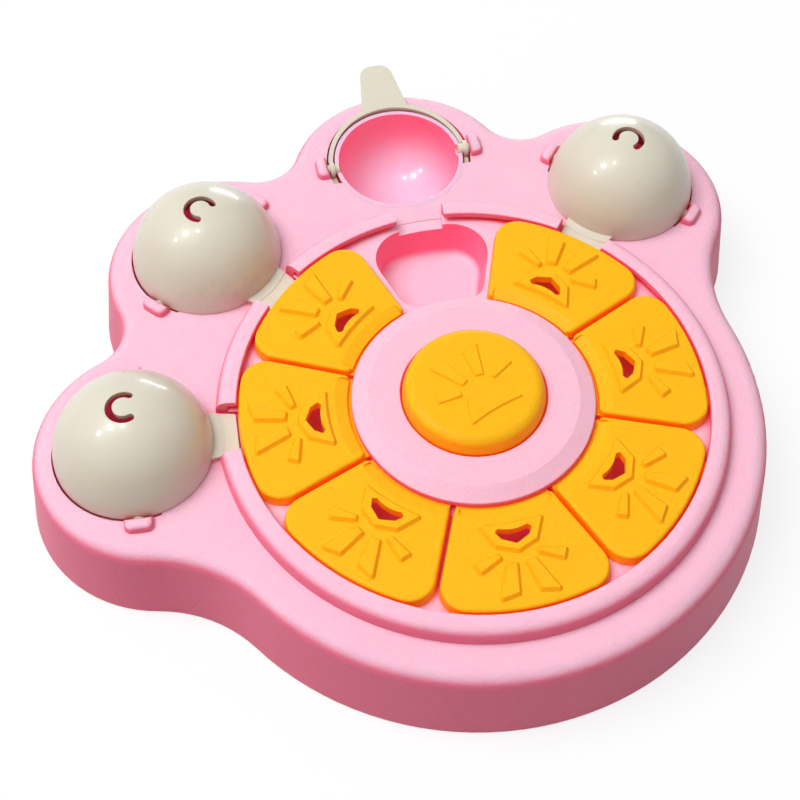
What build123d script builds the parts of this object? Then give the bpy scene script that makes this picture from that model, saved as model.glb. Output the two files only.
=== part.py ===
"""Dog puzzle feeder: a paw-shaped tray with sliding tiles, four flip lids and a squeaking button.

Frame: millimetres, +Z up.  The origin is on the axis of the tile track, at the level that the rubber
feet stand on, and +Y is the paw's own axis, from the pad towards the four toes.
"""

import os
from math import asin, atan2, cos, degrees, hypot, radians, sin

from build123d import *

os.makedirs("parts", exist_ok=True)

# ---------------------------------------------------------------------------- driving dimensions
# Paw body
pad_radius = 104.5  # round heel of the paw, at the bottom edge
lobe_radius = 46.5  # outline of each toe, at the bottom edge
lobe_distance = 107  # middle of a toe's outline from the track axis
toe_pitch = 43  # degrees between neighbouring toes
toe_valley_radius = 11.5
waist_radius = 48
foot_drop = 1.5  # how far the rubber feet stand proud
surface = 32  # height of the flat pink top
draft = 8.4  # degrees, walls lean in towards the top
top_edge_radius = 5.5
wall = 2.4
skin = 2.0

# Ridge round the track
ridge_inner = 80
ridge_outer = 87.3
ridge_height = 6.5
ridge_bead_width = 4.1
ridge_bead_radius = 4.4
ridge_lip_radius = 0.7
ridge_gap_angle = 6.4  # half of the gap that a toe's tab passes through, in degrees
groove_radius = 83.2
groove_top = 4.3  # above the flat top

# Flip lids and their bowls
bowl_distance = 115
bowl_radius = 22.9
bowl_wall = 1.6
lid_radius = 26.9
lid_wall = 1.8
pivot_drop = 0.6  # pivot axis under the flat top
lid_open = 173  # degrees from closed to open
lid_seat_gap = 0.2
slot_radius = 27.5
slot_past_pins = 7.5  # the slot runs this far past the pivot axis
sweep_inner = 24.7  # room for the lid's shell under the skin
sweep_outer = 27.5
thin_skin = 1.6  # skin over the path of the lid's rim
pin_radius = 2.2
pin_fit = 0.06
pin_inner = 23.3
pin_outer = 31.2
tab_thickness = 1.8
tab_leaf = 1.6  # thickness past the arc-shaped step beside the dome
tab_step_radius = 30.2
tab_root_half_width = 9.3
tab_tip_half_width = 5.6
tab_reach_locked = 34.8  # the tab ends at the edge of the tile beside it
tab_reach_free = 46
tab_tip_radius = 5
tab_edge_radius = 1
ear_radius = 3.2
scent_ring_radius = 4.7
scent_ring_width = 2.4
scent_ring_arc = 236

# Bumps over the pins, clips under them
bump_outer = 32.1
bump_half_width = 4.8
bump_height = 3.0
bump_edge_radius = 2.4
clip_post_inner = 28.0
clip_post_outer = 31.0
clip_half_width = 3.4
clip_room = 0.2
clip_drop = 8.5  # underside of the clip's boss below the flat top
clip_plate = 2.4
clip_screw_offset = 35.4  # from the bowl's middle, along the pivot axis

# Tile track
slot_count = 8
slot_pitch = 360 / slot_count
tile_pitch = 45.8  # the tiles are a touch wider than the pockets, so the free place is narrower
first_tile_angle = 110.7
track_rise = 2.0  # floor of the track above the flat top
tray_radius = 83.0
tray_plate = 2.0
tray_step = 2.0
tray_drop = 4.2  # underside of the tray's flange below the flat top
tray_flange_radius = 87
tray_flange_thickness = 2.1
pocket_inner = 44
pocket_outer = 78.7
pocket_half_angle = 18
pocket_outer_corner = 13
pocket_inner_corner = 8
pocket_depth = 14
pocket_draft = 9
pocket_wall = 1.8
pocket_floor_radius = 4
ledge_inner = 77
ledge_half_angle = 6.0

# Sliding tiles
tile_lift = 0.2
tile_height = 4.3
tile_inner = 42.3
tile_outer = 79.7
tile_side_gap = 0.3
tile_draft = 8
tile_flange_inner = 39.7
tile_flange_outer = 81.7
tile_flange_height = 1.7
tile_outer_corner = 9
tile_inner_corner = 2.5
tile_edge_radius = 1.2
tile_band_width = 4.0
tile_band_drop = 1.4
tile_band_margin = 2.2  # the band stops short of the tile's sides
tile_band_corner = 1.8
tile_hollow_depth = 2.3
tile_hollow_inner = 48.5
tile_hollow_outer = 77.3
tile_hollow_margin = 2.6
outer_flange_start = 9.6  # degrees from the tile's middle
outer_flange_end = 14.6
inner_flange_half = 21.6
print_height = 1.35  # raised paw print
print_draft = 36
print_root = 0.3  # it runs this far down into the tile
print_corner_radius = 0.25
print_distance = 53.5  # from the track axis
hole_corner_radius = 0.7

# Centre ring, button and squeaker
ring_hole = 24.7
ring_flat = 35.7
ring_outer = 41.4
ring_rise = 8.7
ring_edge_rise = 6.3
ring_plate = 2.0
ring_skirt_inner = 37.6
ring_skirt_wall = 1.6
ring_boss_circle = 34.2
ring_boss_radius = 2.8
ring_boss_count = 4
ring_edge_radius = 0.8
button_radius = 24.3
button_rise = 14.6
button_shoulder_radius = 4.0
button_lean = 1.5
button_wall = 2.0
button_flange = 27.5
button_flange_rise = 6.5
button_flange_thickness = 2.0
button_print_height = 0.7
button_print_shift = -8.5
well_radius = 28.2
well_wall = 2.0
well_depth = 15
well_floor = 2.0
bulb_radius = 20
bulb_fold_depth = 4
bulb_folds = 4
bulb_wall = 1.5
whistle_radius = 5.0
whistle_height = 7.0
whistle_bore = 1.5

# Cover, feet and screws
cover_thickness = 2.0
cover_gap = 0.65
boss_radius = 3.6
clip_boss_radius = 3.2
pilot_radius = 1.1
shank_radius = 1.0
head_radius = 2.5
head_height = 1.8
cover_screw_length = 12
tray_screw_length = 9
ring_screw_length = 7
clip_screw_length = 6.5
foot_radius = 8
foot_thickness = 2.5
foot_room = 0.2
foot_edge_radius = 0.8
countersink_depth = 1.4
screw_room = 0.3

# ---------------------------------------------------------------------------- heights and places
pivot_height = surface - pivot_drop
cover_bottom = foot_drop
cover_top = cover_bottom + cover_thickness
track_height = surface + track_rise
tile_bottom = track_height + tile_lift
tile_top = tile_bottom + tile_height
tray_underside = surface - tray_drop
ring_underside = surface + ring_rise - ring_plate
well_bottom = surface - well_depth
clip_boss_bottom = surface - clip_drop

toe_angles = [90 + toe_pitch * step for step in (1.5, 0.5, -0.5, -1.5)]
open_toe = 3  # the third toe's lid stands open, over the free place in the track
pocket_angles = [90 + slot_pitch * (step + 0.5) for step in range(slot_count)]
tile_angles = [first_tile_angle + tile_pitch * step for step in range(slot_count - 1)]
seam_angles = [slot_pitch * step for step in range(slot_count)]


def polar(distance, angle):
    """Point at a distance and a bearing round the track axis."""
    return (distance * cos(radians(angle)), distance * sin(radians(angle)))


def sector(inner, outer, middle_angle, half_angle):
    """Corner points of a wedge-shaped cutter that reaches past both radii."""
    low = middle_angle - half_angle
    high = middle_angle + half_angle
    return [polar(inner, low), polar(outer, low), polar(outer, high), polar(inner, high), polar(inner, low)]


def at_toe(shape, angle, height):
    """Move a shape drawn about a bowl's middle, with x pointing away from the track, to its toe."""
    x, y = polar(bowl_distance, angle)
    return shape.moved(Location((x, y, height), (0, 0, angle)))


def save(part, name):
    """Label one finished piece and write its STEP file."""
    part.label = name
    export_step(part, f"parts/{name}.step")


boss_angles = (195, 232, 270, 308, 345)
cover_screw_places = [polar(92.5, angle) for angle in boss_angles]
cover_screw_places += [polar(106, 90 + toe_pitch * step) for step in (-1, 0, 1)]
foot_places = [(0, 0), polar(86, 213), polar(86, 327)]  # the middle one takes the push on the button
foot_places += [polar(128, angle) for angle in toe_angles]
tray_screw_places = [polar(85.1, angle) for angle in seam_angles]
ring_screw_places = [polar(ring_boss_circle, 45 + 90 * step) for step in range(ring_boss_count)]

# ---------------------------------------------------------------------------- base shell
def paw_outline(inset):
    """Outline of the paw, or a line that runs inside it at an even distance."""
    with BuildSketch() as outline:
        Circle(pad_radius - inset)
        for toe_angle in toe_angles:
            with Locations(polar(lobe_distance, toe_angle)):
                Circle(lobe_radius - inset)
        # Soft hollows between the toes, and at the waist on each side of the heel.
        corners = [corner for corner in outline.vertices() if hypot(corner.X, corner.Y) > pad_radius - 5]
        off_axis = {corner: abs(degrees(atan2(corner.Y, corner.X)) % 360 - 90) for corner in corners}
        waists = [corner for corner in corners if off_axis[corner] > 1.5 * toe_pitch]
        valleys = [corner for corner in corners if off_axis[corner] < toe_pitch + 1]
        fillet(valleys, toe_valley_radius + inset)
        waists = [
            corner
            for corner in outline.vertices()
            if any(hypot(corner.X - waist.X, corner.Y - waist.Y) < 0.1 for waist in waists)
        ]
        fillet(waists, waist_radius + inset)
    return outline.sketch


# Section of the ridge: a rounded bead with an undercut groove that holds the tiles' flanges down.
with BuildPart() as ridge:
    with BuildSketch(Plane.XZ) as ridge_section:
        bead_start = ridge_outer - ridge_bead_width
        with BuildLine():
            Polyline(
                (groove_radius, surface - skin),
                (ridge_outer, surface - skin),
                (ridge_outer, surface + ridge_height - ridge_bead_radius),
            )
            RadiusArc(
                (ridge_outer, surface + ridge_height - ridge_bead_radius),
                (bead_start, surface + ridge_height),
                -ridge_bead_radius,
            )
            Line(
                (bead_start, surface + ridge_height),
                (ridge_inner + ridge_lip_radius, surface + ridge_height),
            )
            RadiusArc(
                (ridge_inner + ridge_lip_radius, surface + ridge_height),
                (ridge_inner, surface + ridge_height - ridge_lip_radius),
                -ridge_lip_radius,
            )
            Polyline(
                (ridge_inner, surface + ridge_height - ridge_lip_radius),
                (ridge_inner, surface + groove_top),
                (groove_radius, surface + groove_top),
                (groove_radius, surface - skin),
            )
        make_face()
    revolve(axis=Axis.Z)
    with BuildSketch(Plane.XY.offset(surface)):
        for toe_angle in toe_angles:
            with BuildLine():
                Polyline(*sector(ridge_inner - 5, ridge_outer + 5, toe_angle, ridge_gap_angle))
            make_face()
    extrude(amount=ridge_height + 1, mode=Mode.SUBTRACT)

# What one toe takes out of the shell, drawn about the pivot with x pointing away from the track.
with BuildPart() as lid_path:
    # Room for the lid's domed shell to swing under the skin.
    Sphere(sweep_outer)
    Sphere(sweep_inner, mode=Mode.SUBTRACT)
    skin_underside = pivot_drop - thin_skin
    split(bisect_by=Plane.XY.offset(skin_underside), keep=Keep.BOTTOM)
    # Slot through the skin round the outward half of the bowl, and a little past the pins.
    with BuildSketch(Plane.XY.offset(skin_underside - 1)):
        Circle(slot_radius)
        Circle(bowl_radius + bowl_wall, mode=Mode.SUBTRACT)
        with Locations((-slot_past_pins, 0)):
            Rectangle(2 * slot_radius, 4 * slot_radius, align=(Align.MAX, Align.CENTER), mode=Mode.SUBTRACT)
    extrude(amount=1 + thin_skin + 1)
    # Saddles for the two pins, open downwards.
    for side in (-1, 1):
        saddle_length = pin_outer + clip_room - bowl_radius + 2
        saddle_middle = side * (bowl_radius - 2 + saddle_length / 2)
        with BuildSketch(Plane.XZ.offset(-saddle_middle)):
            Circle(pin_radius + pin_fit)
        extrude(amount=saddle_length / 2, both=True)
        with Locations((0, side * (bowl_radius + bowl_wall / 2), bump_height / 2)):
            Box(2 * (pin_radius + pin_fit), bowl_wall + 2, bump_height)
        with Locations((0, side * (slot_radius + clip_post_outer) / 2, 0)):
            Box(
                2 * (clip_half_width + clip_room),
                clip_post_outer - slot_radius + 2 * clip_room,
                4 * skin,
                align=(Align.CENTER, Align.CENTER, Align.MAX),
            )

# Outside of a toe's bowl, upright where it passes through the skin.
with BuildPart() as toe_cup_blank:
    with Locations((0, 0, pivot_drop)):
        Sphere(
            bowl_radius + bowl_wall,
            arc_size1=-90,
            arc_size2=0,
            align=(Align.CENTER, Align.CENTER, Align.MAX),
        )
        Cylinder(bowl_radius + bowl_wall, skin, align=(Align.CENTER, Align.CENTER, Align.MAX))

# Rounded bump over each pin.
with BuildPart() as pin_bumps:
    bump_length = bump_outer - slot_radius
    for side in (-1, 1):
        with Locations((0, side * (slot_radius + bump_length / 2), pivot_drop - skin / 2)):
            Box(
                2 * bump_half_width,
                bump_length,
                bump_height + skin / 2,
                align=(Align.CENTER, Align.CENTER, Align.MIN),
            )
    outer_edges = pin_bumps.edges().filter_by(Axis.Z).sort_by(lambda edge: abs(edge.center().Y))[4:]
    fillet(outer_edges, bump_edge_radius)
    fillet(pin_bumps.edges().group_by(Axis.Z)[-1], bump_edge_radius - 0.4)

with BuildPart() as base_shell:
    with BuildSketch(Plane.XY.offset(cover_bottom)):
        add(paw_outline(0))
    extrude(amount=surface - cover_bottom, taper=draft)
    fillet(base_shell.edges().group_by(Axis.Z)[-1], top_edge_radius)
    with BuildSketch(Plane.XY.offset(cover_bottom)):
        add(paw_outline(wall))
    extrude(amount=surface - skin - cover_bottom, taper=draft, mode=Mode.SUBTRACT)
    # Bosses for the cover's screws.
    with BuildSketch(Plane.XY.offset(cover_top)):
        with Locations(*cover_screw_places):
            Circle(boss_radius)
    extrude(amount=surface - skin / 2 - cover_top)
    # Bosses for the pin clips, two at each toe.
    for toe_angle in toe_angles:
        toe_x, toe_y = polar(bowl_distance, toe_angle)
        with BuildSketch(Plane(Location((toe_x, toe_y, clip_boss_bottom), (0, 0, toe_angle)))):
            with Locations((0, clip_screw_offset), (0, -clip_screw_offset)):
                Circle(clip_boss_radius)
        extrude(amount=surface - skin / 2 - clip_boss_bottom)
        add(at_toe(pin_bumps.part, toe_angle, pivot_height))
    # The track drops in from below, inside the ridge.
    with BuildSketch(Plane.XY.offset(surface - 2 * skin)):
        Circle(groove_radius)
    extrude(amount=4 * skin, mode=Mode.SUBTRACT)
    add(ridge.part)
    for toe_angle in toe_angles:
        add(at_toe(lid_path.part, toe_angle, pivot_height), mode=Mode.SUBTRACT)
        add(at_toe(toe_cup_blank.part, toe_angle, pivot_height), mode=Mode.SUBTRACT)
        toe_x, toe_y = polar(bowl_distance, toe_angle)
        with BuildSketch(Plane(Location((toe_x, toe_y, clip_boss_bottom), (0, 0, toe_angle)))):
            with Locations((0, clip_screw_offset), (0, -clip_screw_offset)):
                Circle(pilot_radius)
        extrude(amount=clip_screw_length, mode=Mode.SUBTRACT)
    with BuildSketch(Plane.XY.offset(cover_top)):
        with Locations(*cover_screw_places):
            Circle(pilot_radius)
    extrude(amount=cover_screw_length, mode=Mode.SUBTRACT)
    with BuildSketch(Plane.XY.offset(tray_underside)):
        with Locations(*tray_screw_places):
            Circle(pilot_radius)
    extrude(amount=tray_screw_length, mode=Mode.SUBTRACT)
save(base_shell.part, "base_shell")

# ---------------------------------------------------------------------------- toe bowls
# Round cup that hangs in the hole of the flat top, joined to it on the side of the track.
with BuildPart() as toe_cup:
    add(toe_cup_blank.part)
    with Locations((0, 0, pivot_drop)):
        Sphere(bowl_radius, mode=Mode.SUBTRACT)
    add(lid_path.part, mode=Mode.SUBTRACT)

for number, toe_angle in enumerate(toe_angles, 1):
    with BuildPart() as bowl_cup:
        add(at_toe(toe_cup.part, toe_angle, pivot_height))
    save(bowl_cup.part, f"bowl_cup_{number}")

# ---------------------------------------------------------------------------- bottom cover
with BuildPart() as bottom_cover:
    with BuildSketch(Plane.XY.offset(cover_bottom)):
        add(paw_outline(wall + cover_gap))
    extrude(amount=cover_thickness)
    with BuildSketch(Plane.XY.offset(cover_bottom)):
        with Locations(*foot_places):
            Circle(foot_radius + foot_room)
    extrude(amount=foot_thickness - foot_drop, mode=Mode.SUBTRACT)
    for place in cover_screw_places:
        with Locations((*place, cover_bottom)):
            Cone(
                head_radius + screw_room,
                shank_radius + screw_room,
                countersink_depth,
                align=(Align.CENTER, Align.CENTER, Align.MIN),
                mode=Mode.SUBTRACT,
            )
            Cylinder(
                shank_radius + screw_room,
                cover_thickness,
                align=(Align.CENTER, Align.CENTER, Align.MIN),
                mode=Mode.SUBTRACT,
            )
save(bottom_cover.part, "bottom_cover")

with BuildPart() as rubber_feet:
    with BuildSketch():
        with Locations(*foot_places):
            Circle(foot_radius)
    extrude(amount=foot_thickness)
    fillet(rubber_feet.edges().group_by(Axis.Z)[0], foot_edge_radius)
save(rubber_feet.part, "rubber_feet")

# ---------------------------------------------------------------------------- treat tray
with BuildSketch() as pocket_outline:
    with BuildLine():
        half = pocket_half_angle
        CenterArc((0, 0), pocket_outer, -half, 2 * half)
        Line(polar(pocket_outer, half), polar(pocket_inner, half))
        CenterArc((0, 0), pocket_inner, half, -2 * half)
        Line(polar(pocket_inner, -half), polar(pocket_outer, -half))
    make_face()
    pocket_corners = pocket_outline.vertices().sort_by(Axis.X)
    fillet(pocket_corners[2:], pocket_outer_corner)
    pocket_corners = pocket_outline.vertices().sort_by(Axis.X)
    fillet(pocket_corners[:2], pocket_inner_corner)

# Sketches on this plane run downwards from the floor of the track.
track_down = Plane(origin=(0, 0, track_height), x_dir=(1, 0, 0), z_dir=(0, 0, -1))

with BuildPart() as pocket_space:
    with BuildSketch(track_down):
        add(pocket_outline.sketch)
    extrude(amount=pocket_depth, taper=pocket_draft)
    fillet(pocket_space.edges().group_by(Axis.Z)[0], pocket_floor_radius)

with BuildPart() as pocket_cup:
    with BuildSketch(track_down):
        add(pocket_outline.sketch)
        offset(amount=pocket_wall, mode=Mode.REPLACE)
    extrude(amount=pocket_depth + pocket_wall, taper=pocket_draft)
    fillet(pocket_cup.edges().group_by(Axis.Z)[0], pocket_floor_radius)

with BuildPart() as treat_tray:
    with BuildSketch(Plane.XY.offset(surface)):
        Circle(tray_radius)
    extrude(amount=track_rise)
    with BuildSketch(Plane.XY.offset(tray_underside)):
        Circle(tray_radius)
        Circle(tray_radius - tray_step, mode=Mode.SUBTRACT)
    extrude(amount=tray_drop)
    with BuildSketch(Plane.XY.offset(tray_underside)):
        Circle(tray_flange_radius)
        Circle(tray_radius - tray_step, mode=Mode.SUBTRACT)
    extrude(amount=tray_flange_thickness)
    with BuildSketch(Plane.XY.offset(well_bottom - well_floor)):
        Circle(well_radius + well_wall)
    extrude(amount=well_depth + well_floor)
    # A ledge level with the flat top lets each toe's tab lie under the tiles.
    with BuildSketch(Plane.XY.offset(surface - tray_plate)):
        for toe_angle in toe_angles:
            with BuildLine():
                Polyline(*sector(ledge_inner, tray_radius - tray_step / 2, toe_angle, ledge_half_angle + 2))
            make_face()
    extrude(amount=tray_plate)
    for pocket_angle in pocket_angles:
        add(pocket_cup.part.rotate(Axis.Z, pocket_angle))
    for pocket_angle in pocket_angles:
        add(pocket_space.part.rotate(Axis.Z, pocket_angle), mode=Mode.SUBTRACT)
    with BuildSketch(Plane.XY.offset(surface)):
        for toe_angle in toe_angles:
            with BuildLine():
                Polyline(*sector(ledge_inner - 4, tray_radius + 2, toe_angle, ledge_half_angle))
            make_face()
    extrude(amount=track_rise + 1, mode=Mode.SUBTRACT)
    with BuildSketch(Plane.XY.offset(well_bottom)):
        Circle(well_radius)
    extrude(amount=well_depth + track_rise, mode=Mode.SUBTRACT)
    # Seat and sound hole of the whistle.
    with BuildSketch(Plane.XY.offset(well_bottom - well_floor)):
        Circle(whistle_bore + 1)
    extrude(amount=well_floor, mode=Mode.SUBTRACT)
    with BuildSketch(Plane.XY.offset(tray_underside)):
        with Locations(*tray_screw_places):
            Circle(shank_radius + screw_room)
    extrude(amount=tray_flange_thickness, mode=Mode.SUBTRACT)
    with BuildSketch(Plane.XY.offset(surface)):
        with Locations(*ring_screw_places):
            Circle(shank_radius + screw_room)
    extrude(amount=track_rise, mode=Mode.SUBTRACT)
save(treat_tray.part, "treat_tray")

# ---------------------------------------------------------------------------- sliding tiles
def tile_outline(inner, outer, side_gap, inner_corner, outer_corner):
    """Wedge between two radii, its straight sides set in from the seams between the tiles."""
    low = tile_pitch / 2 - degrees(asin(side_gap / inner))
    high = tile_pitch / 2 - degrees(asin(side_gap / outer))
    with BuildSketch() as outline:
        with BuildLine():
            CenterArc((0, 0), outer, -high, 2 * high)
            Line(polar(outer, high), polar(inner, low))
            CenterArc((0, 0), inner, low, -2 * low)
            Line(polar(inner, -low), polar(outer, -high))
        make_face()
        fillet(outline.vertices().sort_by(Axis.X)[2:], outer_corner)
        fillet(outline.vertices().sort_by(Axis.X)[:2], inner_corner)
    return outline.sketch


# Raised paw print: a winged pad and four toe rays with sloping sides.  Its toes point along +X.
pad_wing = (-4.3, 10.1)
pad_shoulder = (3.2, 6.6)
pad_tip = (6.0, 0)
pad_hollow = (-3.5, 0)
long_ray = [(10.6, 1.9), (9.9, 4.3), (21.5, 9.4), (20.4, 3.6)]
short_ray = [(7.8, 6.4), (6.7, 6.8), (8.5, 14.8), (11.4, 13.5)]
print_slope = {"amount": -print_height - print_root, "taper": -print_draft}

with BuildPart() as print_rays:
    for ray in (long_ray, short_ray):
        with BuildSketch(Plane.XY.offset(print_height)) as ray_face:
            with BuildLine():
                Polyline(*ray, close=True)
            make_face()
            fillet(ray_face.vertices(), print_corner_radius)
        extrude(**print_slope)
    mirror(about=Plane.XZ)

with BuildPart() as paw_print:
    with BuildSketch(Plane.XY.offset(print_height)) as pad_face:
        with BuildLine():
            ThreePointArc(pad_wing, pad_hollow, (pad_wing[0], -pad_wing[1]))
            Polyline(
                (pad_wing[0], -pad_wing[1]),
                (pad_shoulder[0], -pad_shoulder[1]),
                pad_tip,
                pad_shoulder,
                pad_wing,
            )
        make_face()
        fillet(pad_face.vertices(), print_corner_radius)
    extrude(**print_slope)
    add(print_rays.part)

# Bean-shaped scent hole through the pad of the print.
with BuildSketch() as scent_hole:
    with BuildLine():
        ThreePointArc((-2.3, 4.8), (-1.3, 0), (-2.3, -4.8))
        Polyline((-2.3, -4.8), (-1.2, -6.2), (1.5, -4.6), (3.9, 0), (1.5, 4.6), (-1.2, 6.2), (-2.3, 4.8))
    make_face()
    fillet(scent_hole.vertices(), hole_corner_radius)

# Space over the sloping band, with rounded ends.
with BuildPart() as tile_band:
    band_outer = tile_inner + tile_band_width + 0.6
    band_slope = tile_band_drop / tile_band_width
    with BuildSketch(Plane.XZ):
        with BuildLine():
            Polyline(
                (band_outer, tile_top),
                (tile_inner - 1, tile_top - band_slope * (band_outer - tile_inner + 1)),
                (tile_inner - 1, tile_top + 1),
                (band_outer, tile_top + 1),
                close=True,
            )
        make_face()
    revolve(axis=Axis.Z)
    with BuildSketch(Plane.XY.offset(tile_bottom)):
        add(tile_outline(tile_inner - 2, band_outer, tile_band_margin, 0.5, tile_band_corner))
    extrude(amount=2 * tile_height, mode=Mode.INTERSECT)

with BuildPart() as tile_pattern:
    with BuildSketch(Plane.XY.offset(tile_bottom)):
        add(tile_outline(tile_inner, tile_outer, tile_side_gap, tile_inner_corner, tile_outer_corner))
    extrude(amount=tile_height, taper=tile_draft)
    fillet(tile_pattern.edges().group_by(Axis.Z)[-1], tile_edge_radius)
    # Sloping band along the inner edge, where the tile dips under the centre ring.
    add(tile_band.part, mode=Mode.SUBTRACT)
    # Flanges that run in the ridge's groove, clear of the tabs, and under the centre ring.
    outer_flange_middle = (outer_flange_start + outer_flange_end) / 2
    outer_flange_half = (outer_flange_end - outer_flange_start) / 2
    with BuildSketch(Plane.XY.offset(tile_bottom)):
        Circle(tile_flange_outer)
        Circle(tile_outer - 3, mode=Mode.SUBTRACT)
        with BuildLine():
            Polyline(*sector(tile_outer - 5, tile_flange_outer + 5, outer_flange_middle, outer_flange_half))
        make_face(mode=Mode.INTERSECT)
        mirror(about=Plane.XZ)
    extrude(amount=tile_flange_height)
    with BuildSketch(Plane.XY.offset(tile_bottom)):
        Circle(tile_inner + 3)
        Circle(tile_flange_inner, mode=Mode.SUBTRACT)
        with BuildLine():
            Polyline(*sector(tile_flange_inner - 5, tile_inner + 5, 0, inner_flange_half))
        make_face(mode=Mode.INTERSECT)
    extrude(amount=tile_flange_height)
    with BuildSketch(Plane.XY.offset(tile_bottom)):
        add(tile_outline(tile_hollow_inner, tile_hollow_outer, tile_hollow_margin, 2, 7))
    extrude(amount=tile_hollow_depth, mode=Mode.SUBTRACT)
    add(paw_print.part.moved(Location((print_distance, 0, tile_top))))
    with BuildSketch(Plane.XY.offset(tile_bottom)):
        with Locations((print_distance, 0)):
            add(scent_hole.sketch)
    extrude(amount=tile_height + print_height, mode=Mode.SUBTRACT)

for number, tile_angle in enumerate(tile_angles, 1):
    with BuildPart() as slider_tile:
        add(tile_pattern.part.rotate(Axis.Z, tile_angle))
    save(slider_tile.part, f"slider_tile_{number}")

# ---------------------------------------------------------------------------- centre ring and button
with BuildPart() as center_ring:
    with BuildSketch(Plane.XZ):
        with BuildLine():
            Polyline(
                (ring_hole, ring_underside),
                (ring_hole, surface + ring_rise),
                (ring_flat, surface + ring_rise),
                (ring_outer, surface + ring_edge_rise),
                (ring_outer, surface + groove_top),
                (ring_skirt_inner + ring_skirt_wall, surface + groove_top),
                (ring_skirt_inner + ring_skirt_wall, track_height),
                (ring_skirt_inner, track_height),
                (ring_skirt_inner, ring_underside),
                close=True,
            )
        make_face()
    revolve(axis=Axis.Z)
    upper_edges = [edge for edge in center_ring.edges() if edge.center().Z > surface + ring_edge_rise - 0.1]
    fillet(upper_edges, ring_edge_radius)
    with BuildSketch(Plane.XY.offset(track_height)):
        with Locations(*ring_screw_places):
            Circle(ring_boss_radius)
    extrude(amount=ring_underside - track_height)
    with BuildSketch(Plane.XY.offset(track_height)):
        with Locations(*ring_screw_places):
            Circle(pilot_radius)
    extrude(amount=ring_underside - track_height, mode=Mode.SUBTRACT)
save(center_ring.part, "center_ring")

with BuildPart() as squeak_button:
    button_top = surface + button_rise
    flange_top = surface + button_flange_rise
    flange_bottom = flange_top - button_flange_thickness
    with BuildSketch(Plane.XZ):
        with BuildLine():
            Polyline(
                (0, button_top - button_wall),
                (0, button_top),
                (button_radius - button_lean, button_top),
                (button_radius, surface + ring_rise),
                (button_radius, flange_top),
                (button_flange, flange_top),
                (button_flange, flange_bottom),
                (button_radius - button_wall, flange_bottom),
                (button_radius - button_wall - button_lean, button_top - button_wall),
                close=True,
            )
        make_face()
    revolve(axis=Axis.Z)
    fillet(squeak_button.edges().group_by(Axis.Z)[-1], button_shoulder_radius)
    print_base = button_top + button_print_height - print_height
    add(paw_print.part.moved(Location((0, button_print_shift, print_base), (0, 0, 90))))
save(squeak_button.part, "squeak_button")

# Rubber bellows that blows the whistle and lifts the button again.
with BuildPart() as squeaker_bulb:
    bulb_bottom = well_bottom
    bulb_top = button_top - button_wall
    fold_height = (bulb_top - bulb_bottom) / bulb_folds
    with BuildSketch(Plane.XZ):
        with BuildLine():
            outer_points = [(whistle_radius, bulb_bottom), (bulb_radius - bulb_fold_depth, bulb_bottom)]
            for fold in range(bulb_folds):
                fold_start = bulb_bottom + fold * fold_height
                outer_points.append((bulb_radius, fold_start + fold_height / 2))
                outer_points.append((bulb_radius - bulb_fold_depth, fold_start + fold_height))
            inner_points = [(0, bulb_top), (0, bulb_top - bulb_wall)]
            for fold in reversed(range(bulb_folds)):
                fold_start = bulb_bottom + fold * fold_height
                neck = bulb_radius - bulb_fold_depth - bulb_wall
                if fold == bulb_folds - 1:
                    inner_points.append((neck, bulb_top - bulb_wall))
                inner_points.append((bulb_radius - bulb_wall, fold_start + fold_height / 2))
                if fold > 0:
                    inner_points.append((neck, fold_start))
            inner_points.append((neck, bulb_bottom + bulb_wall))
            inner_points.append((whistle_radius, bulb_bottom + bulb_wall))
            Polyline(*outer_points, *inner_points, close=True)
        make_face()
    revolve(axis=Axis.Z)
save(squeaker_bulb.part, "squeaker_bulb")

with BuildPart() as squeaker_whistle:
    with BuildSketch(Plane.XY.offset(well_bottom)):
        Circle(whistle_radius)
        Circle(whistle_bore, mode=Mode.SUBTRACT)
    extrude(amount=whistle_height)
    chamfer(squeaker_whistle.edges().group_by(Axis.Z)[-1], 0.4)
save(squeaker_whistle.part, "squeaker_whistle")

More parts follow.
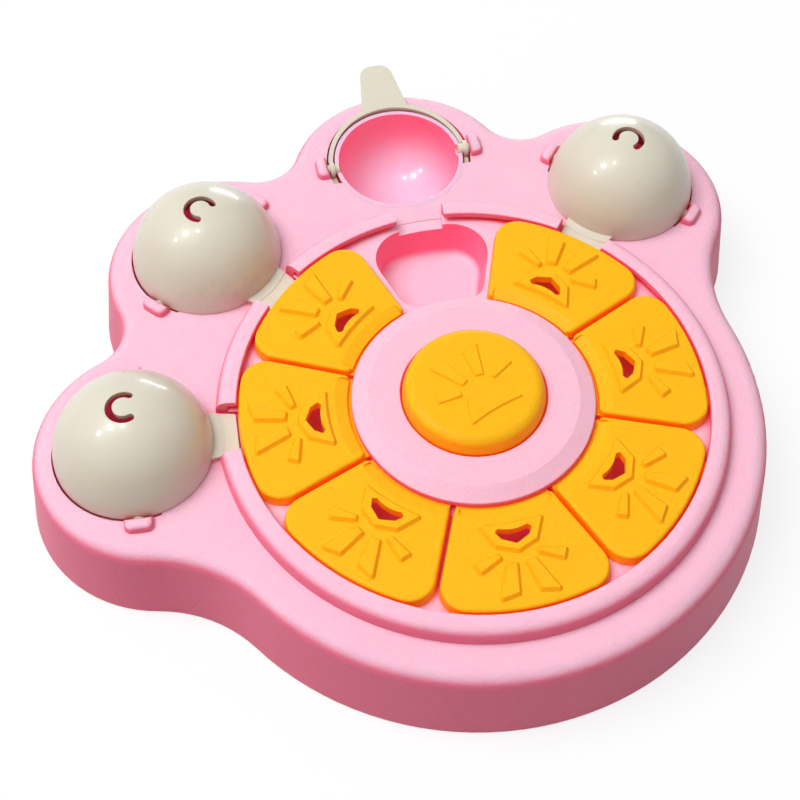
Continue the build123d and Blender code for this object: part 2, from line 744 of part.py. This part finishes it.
# ---------------------------------------------------------------------------- flip lids
def flip_lid(tab_reach):
    """Domed lid, closed, drawn about its pivot with x pointing away from the track."""
    rim = pivot_drop + lid_seat_gap
    with BuildPart() as lid:
        Sphere(lid_radius)
        # Tab that slips through the gap in the ridge and is locked by the tile over it.
        with BuildSketch(Plane.XY.offset(rim)):
            root = lid_radius - lid_wall
            tip_half_width = tab_root_half_width - (tab_root_half_width - tab_tip_half_width) * (
                (tab_reach - root) / (tab_reach_free - root)
            )
            with BuildLine():
                Polyline(
                    (-root + 2, tab_root_half_width),
                    (-tab_reach, tip_half_width),
                    (-tab_reach, -tip_half_width),
                    (-root + 2, -tab_root_half_width),
                    close=True,
                )
            make_face()
            tip_corners = vertices().sort_by(Axis.X)[:2]
            fillet(tip_corners, tab_tip_radius if tab_reach == tab_reach_free else tab_edge_radius)
        extrude(amount=tab_thickness)
        # Past an arc-shaped step beside the dome, the tab is a thinner leaf.
        with BuildSketch(Plane.XY.offset(rim + tab_leaf)):
            Circle(tab_reach + 1)
            Circle(tab_step_radius, mode=Mode.SUBTRACT)
        extrude(amount=tab_thickness, mode=Mode.SUBTRACT)
        Sphere(lid_radius - lid_wall, mode=Mode.SUBTRACT)
        split(bisect_by=Plane.XY.offset(rim), keep=Keep.TOP)
        # Pins, each with an ear that carries it below the rim.
        for side in (-1, 1):
            with BuildSketch(Plane.XZ.offset(-side * pin_inner)):
                Circle(pin_radius)
            extrude(amount=-side * (pin_outer - pin_inner))
            with BuildSketch(Plane.XZ.offset(-side * (lid_radius - lid_wall + 0.1))):
                Circle(ear_radius)
            extrude(amount=-side * (lid_wall - 0.2))
        # Ring-shaped scent slot in the crown, open towards the track.
        with BuildSketch(Plane.XY.offset(lid_radius - 2 * lid_wall)):
            arc_start = 180 + (360 - scent_ring_arc) / 2
            SlotArc(CenterArc((0, 0), scent_ring_radius, arc_start, scent_ring_arc), scent_ring_width)
        extrude(amount=3 * lid_wall, mode=Mode.SUBTRACT)
    return lid.part


for number, toe_angle in enumerate(toe_angles, 1):
    stands_open = number == open_toe
    closed_lid = flip_lid(tab_reach_free if stands_open else tab_reach_locked)
    with BuildPart() as lid:
        add(at_toe(closed_lid.rotate(Axis.Y, lid_open if stands_open else 0), toe_angle, pivot_height))
    save(lid.part, f"lid_{number}")

# Clips that hold the pins up in their saddles, two to a lid.
with BuildPart() as clip_pair:
    for side in (-1, 1):
        post_middle = side * (clip_post_inner + clip_post_outer) / 2
        post_bottom = -clip_drop + pivot_drop - clip_plate
        with BuildSketch(Plane.XY.offset(post_bottom)):
            with Locations((0, post_middle)):
                Rectangle(2 * clip_half_width, clip_post_outer - clip_post_inner)
        extrude(amount=-post_bottom - 0.1)
        with BuildSketch(Plane.XY.offset(post_bottom)):
            with Locations((0, side * clip_screw_offset)):
                Circle(clip_boss_radius - 0.2)
            with Locations((0, side * (clip_post_inner + clip_screw_offset) / 2)):
                Rectangle(2 * clip_boss_radius - 0.4, clip_screw_offset - clip_post_inner)
        extrude(amount=clip_plate)
    with BuildSketch(Plane.XZ):
        Circle(pin_radius + pin_fit)
    extrude(amount=2 * clip_screw_offset, both=True, mode=Mode.SUBTRACT)
    with BuildSketch(Plane.XY.offset(post_bottom)):
        with Locations((0, clip_screw_offset), (0, -clip_screw_offset)):
            Circle(shank_radius + screw_room)
    extrude(amount=clip_plate, mode=Mode.SUBTRACT)

for number, toe_angle in enumerate(toe_angles, 1):
    with BuildPart() as pin_clips:
        add(at_toe(clip_pair.part, toe_angle, pivot_height))
    save(pin_clips.part, f"pin_clips_{number}")


# ---------------------------------------------------------------------------- screws
def pan_head_screws(places, head_top, length):
    """Upright screws with their heads below, one at each place."""
    with BuildPart() as screws:
        with BuildSketch(Plane.XY.offset(head_top - head_height)):
            with Locations(*places):
                Circle(head_radius)
        extrude(amount=head_height)
        fillet(screws.edges().group_by(Axis.Z)[0], head_height / 2)
        with BuildSketch(Plane.XY.offset(head_top)):
            with Locations(*places):
                Circle(shank_radius)
        extrude(amount=length)
        chamfer(screws.edges().group_by(Axis.Z)[-1], shank_radius / 2)
    return screws.part


save(pan_head_screws(tray_screw_places, tray_underside, tray_screw_length - 0.5), "tray_screws")
save(pan_head_screws(ring_screw_places, surface, ring_screw_length - 0.5), "ring_screws")

clip_screw_places = []
for toe_angle in toe_angles:
    for side in (-1, 1):
        toe_x, toe_y = polar(bowl_distance, toe_angle)
        along_x, along_y = polar(side * clip_screw_offset, toe_angle + 90)
        clip_screw_places.append((toe_x + along_x, toe_y + along_y))
clip_screw_reach = clip_screw_length + clip_plate - 0.5
save(pan_head_screws(clip_screw_places, clip_boss_bottom - clip_plate, clip_screw_reach), "clip_screws")

with BuildPart() as cover_screws:
    for place in cover_screw_places:
        with Locations((*place, cover_bottom)):
            Cone(
                head_radius,
                shank_radius,
                countersink_depth,
                align=(Align.CENTER, Align.CENTER, Align.MIN),
            )
            Cylinder(shank_radius, cover_screw_length, align=(Align.CENTER, Align.CENTER, Align.MIN))
    chamfer(cover_screws.edges().group_by(Axis.Z)[-1], shank_radius / 2)
save(cover_screws.part, "cover_screws")
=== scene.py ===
from math import cos, radians, sin

import bpy
from mathutils import Matrix, Vector


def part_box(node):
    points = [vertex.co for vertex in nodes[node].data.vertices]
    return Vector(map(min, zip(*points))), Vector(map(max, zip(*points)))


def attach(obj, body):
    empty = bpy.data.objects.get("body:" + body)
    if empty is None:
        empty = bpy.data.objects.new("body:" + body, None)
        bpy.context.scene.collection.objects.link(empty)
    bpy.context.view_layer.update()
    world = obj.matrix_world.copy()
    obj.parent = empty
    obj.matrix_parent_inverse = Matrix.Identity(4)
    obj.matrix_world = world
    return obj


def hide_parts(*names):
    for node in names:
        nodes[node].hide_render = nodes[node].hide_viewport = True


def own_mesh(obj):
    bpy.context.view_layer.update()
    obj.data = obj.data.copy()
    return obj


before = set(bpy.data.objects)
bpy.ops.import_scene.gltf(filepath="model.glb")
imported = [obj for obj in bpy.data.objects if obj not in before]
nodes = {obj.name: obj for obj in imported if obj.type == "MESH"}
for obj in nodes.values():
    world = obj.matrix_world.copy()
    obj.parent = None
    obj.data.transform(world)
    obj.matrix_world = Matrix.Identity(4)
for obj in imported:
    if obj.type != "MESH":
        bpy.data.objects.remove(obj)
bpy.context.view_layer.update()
bpy.ops.object.select_all(action="DESELECT")


# ---------------------------------------------------------------- pink body
# The paw-shaped body, its bottom cover and the centre ring are injection-moulded ABS in pale
# pink.  A fine spark-eroded grain in the mould leaves their faces matt and a little leathery.
class Shade:
    """One socket of a material.  Sums and products of shades add their Math nodes."""

    def __init__(self, tree, socket=None):
        self.tree = tree
        self.socket = socket

    def node(self, kind, settings, sockets, output=0):
        """Add a node: its settings first, then values or links of its input sockets."""
        made = self.tree.nodes.new(kind)
        for setting, value in settings.items():
            setattr(made, setting, value)
        for key, value in sockets.items():
            if isinstance(value, Shade):
                self.tree.links.new(value.socket, made.inputs[key])
            else:
                made.inputs[key].default_value = value
        return Shade(self.tree, None if output is None else made.outputs[output])

    def maths(self, operation, first, second):
        return self.node("ShaderNodeMath", {"operation": operation}, {0: first, 1: second})

    def __add__(self, other):
        return self.maths("ADD", self, other)

    def __radd__(self, other):
        return self.maths("ADD", other, self)

    def __sub__(self, other):
        return self.maths("SUBTRACT", self, other)

    def __rsub__(self, other):
        return self.maths("SUBTRACT", other, self)

    def __mul__(self, other):
        return self.maths("MULTIPLY", self, other)

    def __rmul__(self, other):
        return self.maths("MULTIPLY", other, self)


def moulded_plastic(
    name, tone_and_shades, glow, painted_glow, rough, grain, coat=0.0, shine=0.5, reach=0.005, slopes=(0.92, 0.45)
):
    """Plastic in its own open colour, with a painted shade where it is steep and a painted deeper
    shade in a crease.

    The glow is the weight, radius and depth of the light that spreads inside the plastic, and the
    painted glow is light emitted where it is steep and in a crease, painted on to stand in for
    light coming back out of the plastic.  The grain is its size and depth, the reach is how near a
    face makes a crease, and the slopes are the upward parts of the normal between which a face
    turns from open to painted shade.
    """
    open_tone, steep_shade_tone, crease_shade_tone = [(*tone, 1.0) for tone in tone_and_shades]
    steep_painted_glow, crease_painted_glow = [(*tone, 1.0) for tone in painted_glow]
    no_light = (0.0, 0.0, 0.0, 1.0)
    glow_weight, glow_radius, glow_depth = glow
    grain_size, grain_depth = grain
    open_share, crease_share = 0.55, 0.12
    full_steep = 0.97
    blotch_tint, blotch_floor = 0.12, 0.4
    blotch_rough, fine_rough = 0.10, 0.08
    fine_height = 0.7

    material = bpy.data.materials.new(name)
    material.use_nodes = True
    tree = material.node_tree
    shader = tree.nodes["Principled BSDF"]
    start = Shade(tree)
    ease = {"interpolation_type": "SMOOTHSTEP"}
    mixing = {"data_type": "RGBA"}

    place = start.node("ShaderNodeTexCoord", {}, {}, "Object")
    facing = start.node("ShaderNodeTexCoord", {}, {}, "Normal")
    upward = start.node("ShaderNodeSeparateXYZ", {}, {"Vector": facing}, "Z")
    bounds = {"Value": upward, "From Min": slopes[0], "From Max": slopes[1]}
    steep = start.node("ShaderNodeMapRange", ease, bounds)
    pattern = {"Vector": place, "Scale": 40.0, "Detail": 3.0}
    blotches = start.node("ShaderNodeTexNoise", {}, pattern, "Fac")
    steep = steep.maths("MAXIMUM", steep * full_steep, blotch_tint * (blotches - blotch_floor))
    openness = start.node(
        "ShaderNodeAmbientOcclusion", {"samples": 8}, {"Distance": reach}, "AO"
    )
    bounds = {"Value": openness, "From Min": open_share, "From Max": crease_share}
    crease = start.node("ShaderNodeMapRange", ease, bounds)

    # The base colour takes a painted shade on steep faces and a painted deeper shade where ambient
    # occlusion finds a crease.
    colour_and_shade = start.node("ShaderNodeMix", mixing, {"Factor": steep, 6: open_tone, 7: steep_shade_tone}, 2)
    colour_and_shade = start.node("ShaderNodeMix", mixing, {"Factor": crease, 6: colour_and_shade, 7: crease_shade_tone}, 2)
    # A painted glow is emitted on steep faces and in creases.
    light = start.node("ShaderNodeMix", mixing, {"Factor": steep, 6: no_light, 7: steep_painted_glow}, 2)
    light = start.node("ShaderNodeMix", mixing, {"Factor": crease, 6: light, 7: crease_painted_glow}, 2)

    pattern = {"Vector": place, "Scale": 1.0 / grain_size, "Smoothness": 0.5}
    pores = start.node("ShaderNodeTexVoronoi", {"feature": "SMOOTH_F1"}, pattern, "Distance")
    pattern = {"Vector": place, "Scale": 1.7 / grain_size, "Detail": 2.0}
    fine = start.node("ShaderNodeTexNoise", {}, pattern, "Fac")
    roughness = rough + blotch_rough * (blotches - 0.5) + fine_rough * (fine - 0.5)
    relief = {"Strength": 1.0, "Distance": grain_depth, "Height": pores + fine_height * fine}
    bump = start.node("ShaderNodeBump", {}, relief)

    tree.links.new(colour_and_shade.socket, shader.inputs["Base Color"])
    tree.links.new(light.socket, shader.inputs["Emission Color"])
    tree.links.new(roughness.socket, shader.inputs["Roughness"])
    tree.links.new(bump.socket, shader.inputs["Normal"])
    shader.inputs["Emission Strength"].default_value = 1.0
    shader.inputs["Specular IOR Level"].default_value = shine
    shader.inputs["Coat Weight"].default_value = coat
    shader.inputs["Coat Roughness"].default_value = 0.07
    shader.inputs["Subsurface Weight"].default_value = glow_weight
    shader.inputs["Subsurface Radius"].default_value = glow_radius
    shader.inputs["Subsurface Scale"].default_value = glow_depth
    return material


def dress(node, material):
    """Give a carried-over node its finished material."""
    mesh = nodes[node].data
    mesh.materials.clear()
    mesh.materials.append(material)


# After the open pink come a painted deeper-pink shade for steep walls and a painted deep-red shade
# for creases, and the creases also get a painted red glow.
pink_tone_and_shades = ((0.97, 0.535, 0.665), (0.87, 0.175, 0.285), (0.92, 0.09, 0.18))
pink_glow = (0.6, (1.0, 0.30, 0.40), 0.0025)
pink_painted_glow = ((0.0, 0.0, 0.0), (0.12, 0.004, 0.012))
pink_shell = moulded_plastic(
    "pink_shell", pink_tone_and_shades, pink_glow, pink_painted_glow, rough=0.5, grain=(0.0010, 0.00016), shine=0.22
)
for node in ("base_shell", "bottom_cover", "center_ring"):
    dress(node, pink_shell)

# ---------------------------------------------------------------- toe bowls
# The round bowls in the toes belong to the pink moulding.  They are polished so that wet food
# wipes off, and their walls carry a painted deeper-pink shade and a painted red glow that grow
# towards the rim.
bowl_tone_and_shades = ((1.0, 0.56, 0.75), (1.0, 0.12, 0.22), (1.0, 0.06, 0.14))
bowl_painted_glow = ((0.16, 0.01, 0.025), (0.0, 0.0, 0.0))
polished_bowl = moulded_plastic(
    "polished_bowl",
    bowl_tone_and_shades,
    pink_glow,
    bowl_painted_glow,
    rough=0.24,
    grain=(0.004, 0.000004),
    coat=0.9,
    slopes=(1.0, 0.12),
)
for number in range(1, 5):
    dress(f"bowl_cup_{number}", polished_bowl)

# ---------------------------------------------------------------- treat tray
# One pink moulding carries the eight treat pockets and the track that the tiles slide on.
# It drops into the body from below and eight screws hold it up.
# Its steep pocket walls carry a painted deep-pink shade and a painted red glow, and its creases a
# painted darker shade.
tray_tone_and_shades = ((1.0, 0.56, 0.70), (1.0, 0.13, 0.27), (0.9, 0.06, 0.13))
tray_painted_glow = ((0.10, 0.01, 0.02), (0.0, 0.0, 0.0))
tray_pink = moulded_plastic(
    "tray_pink",
    tray_tone_and_shades,
    pink_glow,
    tray_painted_glow,
    rough=0.36,
    grain=(0.0016, 0.00002),
    coat=0.1,
    shine=0.4,
    reach=0.008,
    slopes=(1.0, 0.3),
)
dress("treat_tray", tray_pink)

# ---------------------------------------------------------------- sliding tiles and squeak button
# Seven wedge tiles and the button are moulded in egg-yolk yellow with a raised paw print.
# The plastic lets a little light through, which warms its thin edges; the orange of their steep
# sides is a painted shade with a painted orange glow, and their creases carry a painted red shade.
yellow_tone_and_shades = ((0.98, 0.485, 0.010), (1.0, 0.34, 0.0), (0.98, 0.19, 0.0))
yellow_glow = (0.4, (1.0, 0.35, 0.05), 0.002)
yellow_painted_glow = ((0.14, 0.02, 0.0), (0.05, 0.002, 0.0))
yellow = moulded_plastic(
    "yellow",
    yellow_tone_and_shades,
    yellow_glow,
    yellow_painted_glow,
    rough=0.42,
    grain=(0.0010, 0.00010),
    shine=0.15,
    reach=0.003,
    slopes=(0.75, 0.35),
)
for number in range(1, 8):
    dress(f"slider_tile_{number}", yellow)
dress("squeak_button", yellow)

# ---------------------------------------------------------------- flip lids
# Four ivory domes with a finger tab turn on two pins each.  They are polished and gently
# translucent.
# Their steep faces carry a painted darker shade and their creases a painted brown shade with a
# faint painted red glow.
ivory_tone_and_shades = ((0.71, 0.67, 0.56), (0.66, 0.60, 0.48), (0.42, 0.25, 0.18))
ivory_glow = (0.4, (1.0, 0.7, 0.45), 0.003)
ivory_painted_glow = ((0.0, 0.0, 0.0), (0.03, 0.008, 0.006))
ivory = moulded_plastic(
    "ivory",
    ivory_tone_and_shades,
    ivory_glow,
    ivory_painted_glow,
    rough=0.3,
    grain=(0.004, 0.000004),
    coat=0.4,
    shine=0.4,
)
for number in range(1, 5):
    dress(f"lid_{number}", ivory)

# ---------------------------------------------------------------- pin clips
# Pairs of small white plastic clips close the saddles under the lids' pins from below.
# Their steep faces and creases carry a painted darker shade, and their creases a faint painted red
# glow.
clip_tone_and_shades = ((0.80, 0.78, 0.72), (0.76, 0.73, 0.66), (0.4, 0.33, 0.28))
clip_white = moulded_plastic(
    "clip_white", clip_tone_and_shades, ivory_glow, ivory_painted_glow, rough=0.4, grain=(0.0012, 0.00002)
)
for number in range(1, 5):
    dress(f"pin_clips_{number}", clip_white)

# ---------------------------------------------------------------- squeaker bellows and whistle
# A moulded rubber bellows stands in the tray's well under the button, round the whistle.
# Pressing the button folds it up and blows the whistle, and its rubber lifts the button again.
bulb_low, bulb_high = (Vector(corner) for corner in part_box("squeaker_bulb"))
bulb_radius = (bulb_high.x - bulb_low.x) / 2
fold_depth = 0.004
bellows_folds = 4
bellows_wall = 0.0015
foot_bend = 0.0004
head_bend = 0.0006
head_pinhole = 0.0004
neck_radius = bulb_radius - fold_depth
bellows_height = bulb_high.z - bulb_low.z
fold_height = bellows_height / bellows_folds
whistle_radius = 0.005
whistle_gap = 0.0003
fold_outline = ((0.12, 0.10), (0.36, 0.92), (0.50, 1.0), (0.64, 0.92), (0.88, 0.10), (1.0, 0.0))

ring_radius, ring_height = whistle_radius + whistle_gap, 0.0
bpy.ops.mesh.primitive_circle_add(vertices=64, radius=ring_radius, location=(0, 0, bulb_low.z))
bellows = bpy.context.object
bellows.name = "squeaker_bellows"
bpy.ops.object.transform_apply(location=True, rotation=False, scale=True)
bpy.ops.object.mode_set(mode="EDIT")
rings = [(neck_radius - foot_bend, 0.0), (neck_radius, foot_bend)]
for fold in range(bellows_folds):
    fold_start = fold * fold_height
    for rise, bulge in fold_outline:
        rings.append((neck_radius + bulge * fold_depth, fold_start + rise * fold_height))
rings[-1] = (neck_radius, bellows_height - head_bend)
rings += [(neck_radius - head_bend, bellows_height), (head_pinhole, bellows_height)]
for radius, height in rings:
    step = (0, 0, height - ring_height)
    bpy.ops.mesh.extrude_region_move(TRANSFORM_OT_translate={"value": step})
    share = radius / ring_radius
    ring_centre = (0, 0, bulb_low.z + height)
    bpy.ops.transform.resize(value=(share, share, 1), center_override=ring_centre)
    ring_radius, ring_height = radius, height
bpy.ops.mesh.merge(type="COLLAPSE")
bpy.ops.mesh.select_all(action="SELECT")
bpy.ops.mesh.normals_make_consistent(inside=False)
bpy.ops.object.mode_set(mode="OBJECT")
walls = bellows.modifiers.new("rubber wall", "SOLIDIFY")
walls.thickness = bellows_wall
walls.offset = -1.0
bpy.ops.object.modifier_apply(modifier=walls.name)
bpy.ops.object.shade_smooth_by_angle(angle=radians(50))
# Its steep faces and creases carry a painted darker shade, and its creases a faint painted red
# glow.
rubber_tone_and_shades = ((0.80, 0.775, 0.70), (0.74, 0.71, 0.63), (0.35, 0.31, 0.27))
bellows_rubber = moulded_plastic(
    "bellows_rubber", rubber_tone_and_shades, ivory_glow, ivory_painted_glow, rough=0.62, grain=(0.0014, 0.00004)
)
bellows.data.materials.append(bellows_rubber)
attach(bellows, "base")
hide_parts("squeaker_bulb")
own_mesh(bellows)
dress("squeaker_whistle", clip_white)

# ---------------------------------------------------------------- screws
# Plated steel tapping screws.  The heads of the eight that hold the cover sit in its
# countersinks, and the others are closed in under the tray, the ring and the lids' pins.
def brushed_steel(name):
    """Bright plated steel, a little uneven in tone and polish."""
    dull_tone, bright_tone = (0.62, 0.62, 0.63, 1.0), (0.74, 0.74, 0.74, 1.0)
    least_rough, rough_spread = 0.2, 0.18
    material = bpy.data.materials.new(name)
    material.use_nodes = True
    tree = material.node_tree
    shader = tree.nodes["Principled BSDF"]
    start = Shade(tree)
    place = start.node("ShaderNodeTexCoord", {}, {}, "Object")
    pattern = {"Vector": place, "Scale": 900.0, "Detail": 2.0}
    marks = start.node("ShaderNodeTexNoise", {}, pattern, "Fac")
    shades = {"Factor": marks, 6: dull_tone, 7: bright_tone}
    tone = start.node("ShaderNodeMix", {"data_type": "RGBA"}, shades, 2)
    roughness = least_rough + rough_spread * marks
    tree.links.new(tone.socket, shader.inputs["Base Color"])
    tree.links.new(roughness.socket, shader.inputs["Roughness"])
    shader.inputs["Metallic"].default_value = 1.0
    return material


steel = brushed_steel("plated_steel")
for node in ("cover_screws", "tray_screws", "ring_screws", "clip_screws"):
    dress(node, steel)

# ---------------------------------------------------------------- rubber feet
# Seven round pads of grey rubber lie in shallow seats of the cover and stand a little proud.
# Their steep faces and creases carry a painted darker shade, with no painted glow.
foot_tone_and_shades = ((0.27, 0.235, 0.25), (0.22, 0.19, 0.205), (0.08, 0.06, 0.07))
foot_glow = (0.0, (1.0, 1.0, 1.0), 0.001)
no_painted_glow = ((0.0, 0.0, 0.0), (0.0, 0.0, 0.0))
foot_rubber = moulded_plastic(
    "foot_rubber", foot_tone_and_shades, foot_glow, no_painted_glow, rough=0.75, grain=(0.0009, 0.00008)
)
dress("rubber_feet", foot_rubber)

# ---------------------------------------------------------------- floor, light and camera
# The toy stands on a pale matt floor under one large softbox.  Small lamps show only as the
# bright spots in the bowls and on the domes, and a low strip behind as the streak near their tops.
floor_span = 6.0
floor_tone = (0.92, 0.92, 0.92, 1.0)
bounce_tone = (0.42, 0.38, 0.39, 1.0)
floor_light = 0.8
bpy.ops.mesh.primitive_plane_add(size=floor_span, location=(0, 0, 0))
floor = bpy.context.object
floor.name = "studio_floor"
floor_paint = bpy.data.materials.new("floor_paint")
floor_paint.use_nodes = True
tree = floor_paint.node_tree
tree.nodes.clear()
start = Shade(tree)
camera_ray = start.node("ShaderNodeLightPath", {}, {}, "Is Camera Ray")
glossy_ray = start.node("ShaderNodeLightPath", {}, {}, "Is Glossy Ray")
passed_ray = start.node("ShaderNodeLightPath", {}, {}, "Is Transmission Ray")
seen = camera_ray + glossy_ray + passed_ray
seen = seen.maths("MINIMUM", seen, 1.0)
bounce = start.node("ShaderNodeBsdfDiffuse", {}, {"Color": bounce_tone})
pale = start.node("ShaderNodeBsdfDiffuse", {}, {"Color": floor_tone})
lit = start.node("ShaderNodeEmission", {}, {"Color": (1, 1, 1, 1), "Strength": 1.0})
shown = start.node("ShaderNodeMixShader", {}, {0: floor_light, 1: pale, 2: lit})
paint = start.node("ShaderNodeMixShader", {}, {0: seen, 1: bounce, 2: shown})
start.node("ShaderNodeOutputMaterial", {}, {"Surface": paint}, None)
floor.data.materials.append(floor_paint)

world_light = 0.36
world = bpy.data.worlds.new("studio")
bpy.context.scene.world = world
world.use_nodes = True
world.node_tree.nodes["Background"].inputs["Color"].default_value = (1, 1, 1, 1)
world.node_tree.nodes["Background"].inputs["Strength"].default_value = world_light


def lamp(name, azimuth, elevation, distance, size, watts, height=None):
    """Softbox that shines at the middle of the toy from a bearing and a height in degrees."""
    light = bpy.data.lights.new(name, "AREA")
    light.shape = "ELLIPSE" if height is None else "RECTANGLE"
    light.size = size
    light.size_y = size if height is None else height
    light.energy = watts
    box = bpy.data.objects.new(name, light)
    bpy.context.scene.collection.objects.link(box)
    azimuth, elevation = radians(azimuth), radians(elevation)
    flat = cos(elevation)
    direction = Vector((cos(azimuth) * flat, sin(azimuth) * flat, sin(elevation)))
    box.location = direction * distance + Vector((0, 0, lamp_aim_height))
    box.rotation_euler = direction.to_track_quat("Z", "Y").to_euler()
    return box


lamp_aim_height = 0.03
key = lamp("key", azimuth=140, elevation=66, distance=2.0, size=1.5, watts=37.5)
key.visible_glossy = False
for spot in (
    lamp("spot_high", azimuth=138, elevation=78, distance=1.5, size=0.12, watts=3.2),
    lamp("spot_middle", azimuth=144, elevation=61, distance=1.5, size=0.16, watts=5.2),
    lamp("spot_low", azimuth=152, elevation=46, distance=1.5, size=0.11, watts=2.2),
    lamp("rim_strip", azimuth=50, elevation=4, distance=1.5, size=0.55, watts=5.0, height=0.12),
):
    spot.visible_diffuse = False

camera_data = bpy.data.cameras.new("camera")
camera = bpy.data.objects.new("camera", camera_data)
bpy.context.scene.collection.objects.link(camera)
bpy.context.scene.camera = camera
camera_data.sensor_width = 36.0
camera_data.lens = 66.22
camera_data.clip_start = 0.01
camera_distance = 0.50336
camera_target = Vector((-0.01916, 0.01595, 0.032))
azimuth = radians(-35.16)
elevation = radians(57.32)
roll = radians(1.13)
back = Vector((cos(elevation) * sin(azimuth), -cos(elevation) * cos(azimuth), sin(elevation)))
right = Vector((cos(azimuth), sin(azimuth), 0.0))
up = back.cross(right)
right, up = right * cos(roll) + up * sin(roll), up * cos(roll) - right * sin(roll)
turn = Matrix((right, up, back)).transposed().to_4x4()
camera.matrix_world = Matrix.Translation(camera_target + back * camera_distance) @ turn

bpy.context.scene.view_settings.view_transform = "Standard"
